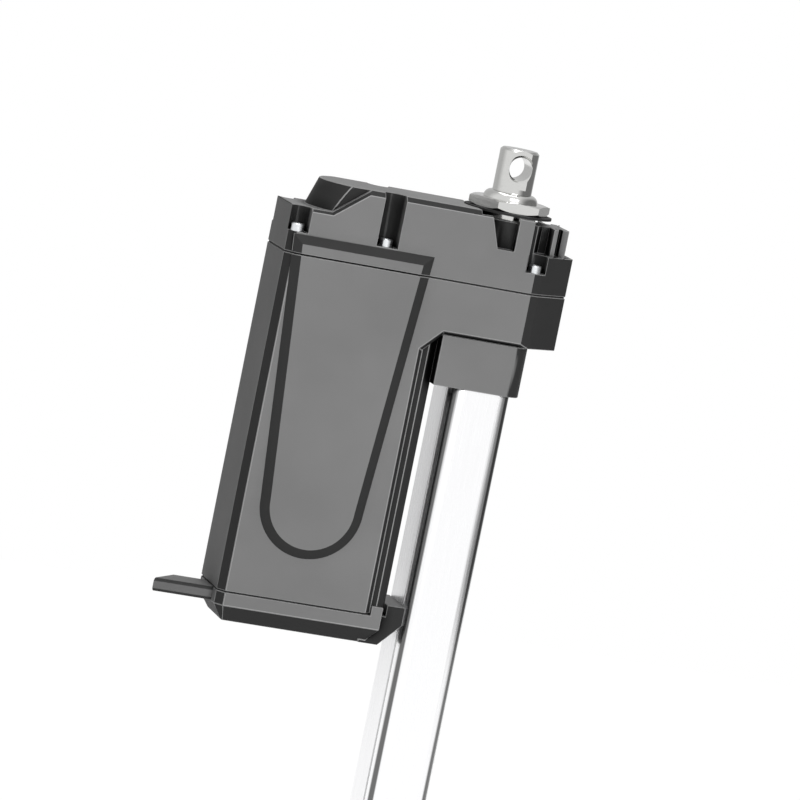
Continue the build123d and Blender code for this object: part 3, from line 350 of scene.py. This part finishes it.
@dataclass(frozen=True)
class SoftRubber:
    """Moulded nitrile rubber: nearly black and matt, with a dusty bloom in patches."""

    name: str = "nitrile_rubber_moulded"
    colour: str = "161616"
    bloom: str = "2C2C2C"
    roughness: float = 0.7
    gloss: float = 0.3
    bloom_mm: float = 3.0
    bloom_detail: float = 4.0

    def build(self) -> bpy.types.Material:
        """Build the finish and return its material."""
        material, tree = new_material(self.name)
        place = add_node(tree, "ShaderNodeTexCoord").outputs["Object"]
        dust_and_shade = add_node(
            tree, "ShaderNodeTexNoise",
            {"Vector": place, "Scale": 1 / (self.bloom_mm * MM), "Detail": self.bloom_detail},
        ).outputs["Fac"]
        colour = add_node(
            tree, "ShaderNodeMix",
            {"Factor": dust_and_shade, "A": linear(self.colour), "B": linear(self.bloom)},
            data_type="RGBA",
        ).outputs["Result"]
        shader = add_node(
            tree, "ShaderNodeBsdfPrincipled",
            {"Base Color": colour, "Roughness": self.roughness, "Specular IOR Level": self.gloss},
        )
        add_node(tree, "ShaderNodeOutputMaterial", {"Surface": shader.outputs["BSDF"]})
        return material


@dataclass(frozen=True)
class EdgeBreak:
    """The small radius that a mould or a saw cut leaves on a sharp corner."""

    width_mm: float = 0.35
    segments: int = 2
    sharp_degrees: float = 28.0
    weld_mm: float = 0.002

    def apply(self, piece: bpy.types.Object, slot: int) -> None:
        """Round the sharp corners of a CAD node with live modifiers.

        Args:
            piece: The node's object.
            slot: The material slot of the rounded corners.
        """
        weld = piece.modifiers.new("join_facets", "WELD")
        weld.merge_threshold = self.weld_mm * MM
        bevel = piece.modifiers.new("edge_break", "BEVEL")
        bevel.width = self.width_mm * MM
        bevel.segments = self.segments
        bevel.limit_method = "ANGLE"
        bevel.angle_limit = math.radians(self.sharp_degrees)
        bevel.harden_normals = True
        bevel.use_clamp_overlap = False
        bevel.material = slot


def dress(
    names: tuple[str, ...],
    material: bpy.types.Material,
    edge: EdgeBreak | None = None,
    corner: bpy.types.Material | None = None,
) -> None:
    """Give CAD nodes a finish, and rounded corners where asked.

    Args:
        names: The nodes.
        material: Their finish.
        edge: The corner rounding, or None for a piece that keeps its corners.
        corner: The finish of the rounded corners, or None for the piece's own.
    """
    for name in names:
        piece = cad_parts[name]
        piece.data.materials.clear()
        piece.data.materials.append(material)
        if corner is not None:
            piece.data.materials.append(corner)
        if edge is not None:
            edge.apply(piece, len(piece.data.materials) - 1)
        log.info("%s dressed in %s", name, material.name)


@dataclass
class Housing:
    """The moulded gear cover, motor housing and end cap, with their seals and cable boot."""

    # glass filled polyamide, moulded: an even mid grey, with painted shade, nearly black, on
    # slanted faces and on front faces set back in recesses
    plastic: MouldedPlastic = MouldedPlastic(
        "polyamide_glass_filled_moulded", "808080", "363636", set_back_mm=(18.0, 22.0),
    )
    # painted highlight: the rounded corners are painted paler, as thin pale lines of light
    corner: MouldedPlastic = MouldedPlastic(
        "polyamide_painted_highlight_corner", "B0B0B0", "8C8C8C", corner_dark=0.4,
    )
    # a softer moulding, whose flat sides are a little darker than the housing
    boot: MouldedPlastic = MouldedPlastic("elastomer_boot_moulded", "707070", "3A3A3A")
    rubber: SoftRubber = SoftRubber()
    edge: EdgeBreak = EdgeBreak()

    def build(self) -> None:
        """Dress the shells, the rubber pieces between them and the boot, which has chamfers."""
        dress(
            ("gear_cover", "motor_housing", "end_cap"),
            self.plastic.build(), self.edge, self.corner.build(),
        )
        dress(("cover_gasket", "cap_gasket", "clevis_seal", "rod_wiper"), self.rubber.build())
        dress(("cable_boot",), self.boot.build())


@dataclass
class TubeAndRod:
    """The extruded outer tube, its front guide, and the push rod."""

    # clear anodised extrusion: bright faces with faint long lines, and round corners painted grey
    # as painted shade
    tube: BareMetal = BareMetal(
        "aluminium_clear_anodised_extruded", "FAFAFB", Metal.EXTRUDED, 0.24,
        corner_shade_colour="707070",
    )
    # black polyamide, moulded: a matt dark band round the tube's end
    guide: MouldedPlastic = MouldedPlastic("polyamide_black_moulded", "2B2B2B", "262626")
    # ground stainless steel: an even sheen, with fine rings round the rod
    rod: BareMetal = BareMetal("stainless_steel_ground", "D8D8D8", Metal.TURNED, 0.2)
    edge: EdgeBreak = EdgeBreak(width_mm=0.3)

    def build(self) -> None:
        """Dress the tube, the guide and the rod."""
        dress(("outer_tube",), self.tube.build(), self.edge)
        dress(("front_guide",), self.guide.build(), self.edge)
        dress(("push_rod",), self.rod.build())


@dataclass
class ClevisSet:
    """The turned steel end fittings."""

    # turned, then polished: it mirrors the room in bright and dark bands
    steel: BareMetal = BareMetal(
        "steel_turned_and_polished", "D2D2D0", Metal.TURNED, 0.16, mark_mm=0.5, relief_mm=0.002,
    )

    def build(self) -> None:
        """Dress the rear clevis and the front eye, whose chamfers are in their meshes."""
        dress(("rear_clevis", "front_eye"), self.steel.build())


@dataclass
class Fasteners:
    """The socket head screws of the cover and the cap."""

    # zinc plating: a pale, slightly cloudy shine
    zinc: BareMetal = BareMetal("steel_zinc_plated", "E4E6E8", Metal.PLATED, 0.3)

    def build(self) -> None:
        """Dress both sets of screws."""
        dress(("cover_screws", "cap_screws"), self.zinc.build())


@dataclass
class Internals:
    """The motor, the gear train, the spindle with its bearing, and the boards."""

    # ground steel: a fine even shine
    steel: BareMetal = BareMetal("bearing_steel_ground", "B8B8B8", Metal.TURNED, 0.18)
    # natural acetal, moulded: waxy and ivory coloured
    acetal: MouldedPlastic = MouldedPlastic(
        "acetal_natural_moulded", "E2DED0", "D8D2C2", roughness=0.4,
    )
    # sintered bronze: brown and dull, for its pores hold oil
    bronze: BareMetal = BareMetal("bronze_sintered", "B08A4A", Metal.SINTERED, 0.45)
    # plated sheet: grey, with a soft shine
    can: BareMetal = BareMetal("steel_sheet_zinc_plated", "B4B6B8", Metal.PLATED, 0.35)
    # sintered ferrite: charcoal and matt
    ferrite: MouldedPlastic = MouldedPlastic(
        "ferrite_sintered", "2A2B2E", "242528", roughness=0.6,
    )
    # stacked sheets: fine lines along the stack, dull
    laminate: BareMetal = BareMetal("silicon_steel_laminated", "6E7074", Metal.EXTRUDED, 0.5)
    # drawn copper: warm, with a soft shine
    copper: BareMetal = BareMetal("copper_drawn", "C27A4C", Metal.TURNED, 0.3)
    # pressed carbon: black and dusty
    carbon: MouldedPlastic = MouldedPlastic("carbon_pressed", "1A1A1A", "202020", roughness=0.7)
    # black phenolic, moulded: brownish black
    phenolic: MouldedPlastic = MouldedPlastic("phenolic_black_moulded", "2E2A26", "282420")
    # coated glass epoxy: green under a smooth varnish
    board: MouldedPlastic = MouldedPlastic(
        "glass_epoxy_green_coated", "1D5A38", "18502F", roughness=0.3,
    )

    def build(self) -> None:
        """Dress every piece inside the housing and the tube."""
        ground = ("spindle", "bearing_outer_race", "bearing_inner_race", "bearing_balls",
                  "retaining_ring", "idler_pins", "motor_shaft")
        for finish, names in (
            (self.steel, ground),
            (self.acetal, ("drive_nut", "spindle_gear", "idler_gear_a", "idler_gear_b")),
            (self.bronze, ("motor_pinion", "motor_bushes")),
            (self.can, ("motor_can",)),
            (self.ferrite, ("motor_magnets", "encoder_magnet", "nut_magnet")),
            (self.laminate, ("armature",)),
            (self.copper, ("armature_windings", "commutator")),
            (self.carbon, ("motor_brushes", "end_sensors")),
            (self.phenolic, ("motor_end_plate",)),
            (self.board, ("encoder_board", "sensor_strip", "control_board")),
        ):
            dress(names, finish.build())


@dataclass(frozen=True)
class Lamp:
    """A square area lamp. Its place is told from the aim point, in metres, as its side is."""

    name: str
    place: tuple[float, float, float]
    side: float
    watts: float

    def hang(self, aim: Vector) -> None:
        """Hang the lamp, facing the aim point.

        Args:
            aim: The point that it lights, in metres.
        """
        data = bpy.data.lights.new(self.name, "AREA")
        data.shape = "SQUARE"
        data.size = self.side
        data.energy = self.watts
        lamp = bpy.data.objects.new(self.name, data)
        bpy.context.scene.collection.objects.link(lamp)
        lamp.location = aim + Vector(self.place)
        lamp.rotation_mode = "QUATERNION"
        lamp.rotation_quaternion = (-Vector(self.place)).to_track_quat("-Z", "Y")


@dataclass
class Studio:
    """A pale floor, a white surround, soft lamps and the camera of the photograph.

    The camera sees white all round. So does metal that mirrors the front and the left, while
    what it mirrors from behind and from the right is greyer, which gives it its dark sides.
    """

    azimuth: float = -15.0
    elevation: float = 6.5
    roll: float = 11.45
    distance: float = 3.0
    pixels_per_mm: float = 1.93
    aim_mm: tuple[float, float, float] = (-36.2, 1.4, -129.7)
    sensor_mm: float = 36.0
    clip: tuple[float, float] = (0.1, 100.0)
    lamps: tuple[Lamp, ...] = (
        Lamp("key", (0.25, -2.7, 1.6), 1.4, 72.0),
        Lamp("top", (0.0, 0.6, 2.4), 1.2, 30.0),
    )
    fill_level: float = 0.17
    behind_level: float = 0.6
    behind_from: float = 0.5
    right_side_level: float = 0.22
    white_until: float = 0.32
    dark_from: float = 0.8
    floor_drop_mm: float = 720.0
    floor_size: float = 6.0
    floor_colour: str = "F4F4F4"
    floor_glow_share: float = 0.86
    floor_glow: float = 1.13

    def build(self) -> None:
        """Make the surround, the lamps and the camera."""
        self._world()
        self._floor()
        for lamp in self.lamps:
            lamp.hang(Vector(self.aim_mm) * MM)
        self._camera()

    def _world(self) -> None:
        """White for the camera and in front; greyer behind and to the right; dim for fill."""
        world = bpy.data.worlds.new("studio")
        bpy.context.scene.world = world
        world.use_nodes = True
        tree = world.node_tree
        tree.nodes.clear()
        path = add_node(tree, "ShaderNodeLightPath").outputs
        aim = add_node(
            tree, "ShaderNodeSeparateXYZ",
            {"Vector": add_node(tree, "ShaderNodeTexCoord").outputs["Generated"]},
        ).outputs
        right = add_node(
            tree, "ShaderNodeMapRange",
            {"Value": aim["X"], "From Min": self.white_until, "From Max": self.dark_from,
             "To Min": 1.0, "To Max": self.right_side_level},
        ).outputs["Result"]
        behind = add_node(
            tree, "ShaderNodeMapRange",
            {"Value": aim["Y"], "From Min": 0.0, "From Max": self.behind_from, "To Min": 1.0,
             "To Max": self.behind_level},
        ).outputs["Result"]
        side = add_node(
            tree, "ShaderNodeMath", {0: behind, 1: right}, operation="MINIMUM",
        ).outputs["Value"]
        mirrored = add_node(
            tree, "ShaderNodeMath",
            {0: path["Is Glossy Ray"], 1: path["Is Transmission Ray"]}, operation="MAXIMUM",
        ).outputs["Value"]
        level = add_node(
            tree, "ShaderNodeMapRange",
            {"Value": mirrored, "To Min": self.fill_level, "To Max": 1.0},
        ).outputs["Result"]
        level = add_node(
            tree, "ShaderNodeMath", {0: level, 1: side}, operation="MULTIPLY",
        ).outputs["Value"]
        level = add_node(
            tree, "ShaderNodeMath", {0: level, 1: path["Is Camera Ray"]}, operation="MAXIMUM",
        ).outputs["Value"]
        light = add_node(
            tree, "ShaderNodeBackground", {"Color": linear(WHITE), "Strength": level},
        )
        add_node(tree, "ShaderNodeOutputWorld", {"Surface": light.outputs["Background"]})

    def _floor(self) -> None:
        """A pale floor well below the rod's reach, which keeps the object's shadow."""
        mesh = bpy.data.meshes.new("floor")
        shape = bmesh.new()
        bmesh.ops.create_grid(shape, x_segments=1, y_segments=1, size=self.floor_size / 2)
        bmesh.ops.translate(
            shape, verts=shape.verts, vec=Vector((0, 0, -self.floor_drop_mm * MM)),
        )
        shape.to_mesh(mesh)
        shape.free()
        mesh.materials.append(self._floor_paint())
        floor = bpy.data.objects.new("floor", mesh)
        bpy.context.scene.collection.objects.link(floor)

    def _floor_paint(self) -> bpy.types.Material:
        """White painted board, which glows a little for the camera and for mirrored rays."""
        material, tree = new_material("painted_board_white")
        path = add_node(tree, "ShaderNodeLightPath").outputs
        seen = path["Is Camera Ray"]
        for kind in ("Is Glossy Ray", "Is Transmission Ray"):
            seen = add_node(
                tree, "ShaderNodeMath", {0: seen, 1: path[kind]}, operation="MAXIMUM",
            ).outputs["Value"]
        share = add_node(
            tree, "ShaderNodeMath", {0: seen, 1: self.floor_glow_share}, operation="MULTIPLY",
        ).outputs["Value"]
        paint = add_node(tree, "ShaderNodeBsdfDiffuse", {"Color": linear(self.floor_colour)})
        glow = add_node(
            tree, "ShaderNodeEmission", {"Color": linear(WHITE), "Strength": self.floor_glow},
        )
        mix = add_node(
            tree, "ShaderNodeMixShader",
            {0: share, 1: paint.outputs["BSDF"], 2: glow.outputs["Emission"]},
        )
        add_node(tree, "ShaderNodeOutputMaterial", {"Surface": mix.outputs["Shader"]})
        return material

    def _camera(self) -> None:
        """Stand the camera where the photograph was taken from, rolled as the object hangs."""
        turn, rise, roll = (
            math.radians(v) for v in (self.azimuth, self.elevation, self.roll)
        )
        back = Vector((
            math.sin(turn) * math.cos(rise),
            -math.cos(turn) * math.cos(rise),
            math.sin(rise),
        ))
        right = Vector((math.cos(turn), math.sin(turn), 0.0))
        up = back.cross(right)
        rolled_right = right * math.cos(roll) + up * math.sin(roll)
        rolled_up = up * math.cos(roll) - right * math.sin(roll)
        data = bpy.data.cameras.new("photo_camera")
        data.sensor_width = self.sensor_mm
        frame_width = IMAGE_PIXELS / self.pixels_per_mm * MM
        data.lens = self.sensor_mm * self.distance / frame_width
        data.clip_start, data.clip_end = self.clip
        camera = bpy.data.objects.new("photo_camera", data)
        bpy.context.scene.collection.objects.link(camera)
        turned = Matrix((rolled_right, rolled_up, back)).transposed()
        camera.rotation_mode = "QUATERNION"
        camera.rotation_quaternion = turned.to_quaternion()
        camera.location = Vector(self.aim_mm) * MM + back * self.distance
        bpy.context.scene.camera = camera


def main() -> None:
    """Build the studio, then dress the actuator from the outside in."""
    bpy.context.scene.view_settings.view_transform = "Standard"
    for part in (Studio(), Housing(), TubeAndRod(), ClevisSet(), Fasteners(), Internals()):
        part.build()
        log.info("%s finished", type(part).__name__)


if __name__ == "__main__":
    main()
